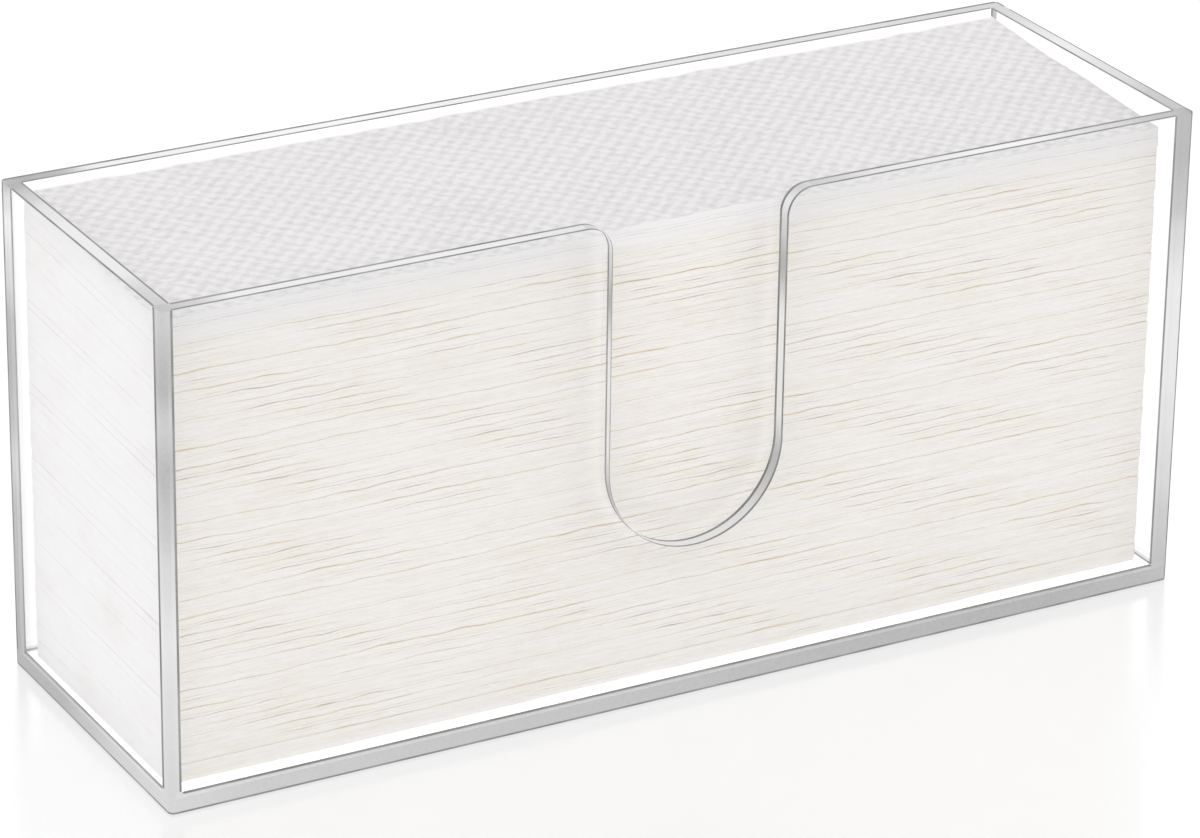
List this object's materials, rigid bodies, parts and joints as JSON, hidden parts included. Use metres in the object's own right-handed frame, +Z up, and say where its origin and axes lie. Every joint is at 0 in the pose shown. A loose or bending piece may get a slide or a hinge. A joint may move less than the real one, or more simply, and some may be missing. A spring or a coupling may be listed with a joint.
{
  "type": "paper towel dispenser",
  "caption": "Open-topped clear box for a stack of folded paper towels, with a round-bottomed finger notch in the front panel.",
  "frame": {"origin": "middle of the underside of the base panel, on the surface that the box stands on", "axes": "+X along the box's length, -Y out of the front panel that has the finger notch, +Z up"},
  "size_m": [0.27, 0.088, 0.123],
  "materials": {
    "clear_sheet": "clear, polished faces with pale grey cut edges",
    "towel_paper": "soft matt embossed paper"
  },
  "bodies": {
    "root": {"base_panel": "clear_sheet", "front_panel": "clear_sheet", "back_panel": "clear_sheet", "left_panel": "clear_sheet", "right_panel": "clear_sheet", "towel_01": "towel_paper", "towel_02": "towel_paper", "towel_03": "towel_paper", "towel_04": "towel_paper", "towel_05": "towel_paper", "towel_06": "towel_paper", "towel_07": "towel_paper", "towel_08": "towel_paper", "towel_09": "towel_paper", "towel_10": "towel_paper", "towel_11": "towel_paper", "towel_12": "towel_paper", "towel_13": "towel_paper", "towel_14": "towel_paper", "towel_15": "towel_paper", "towel_16": "towel_paper", "towel_17": "towel_paper", "towel_18": "towel_paper", "towel_19": "towel_paper", "towel_20": "towel_paper", "towel_21": "towel_paper", "towel_22": "towel_paper", "towel_23": "towel_paper", "towel_24": "towel_paper", "towel_25": "towel_paper", "towel_26": "towel_paper", "towel_27": "towel_paper", "towel_28": "towel_paper", "towel_29": "towel_paper", "towel_30": "towel_paper", "towel_31": "towel_paper", "towel_32": "towel_paper", "towel_33": "towel_paper", "towel_34": "towel_paper", "towel_35": "towel_paper", "towel_36": "towel_paper", "towel_37": "towel_paper", "towel_38": "towel_paper", "towel_39": "towel_paper", "towel_40": "towel_paper", "towel_41": "towel_paper", "towel_42": "towel_paper", "towel_43": "towel_paper", "towel_44": "towel_paper", "towel_45": "towel_paper", "towel_46": "towel_paper", "towel_47": "towel_paper", "towel_48": "towel_paper", "towel_49": "towel_paper", "towel_50": "towel_paper"}
  },
  "joints": []
}
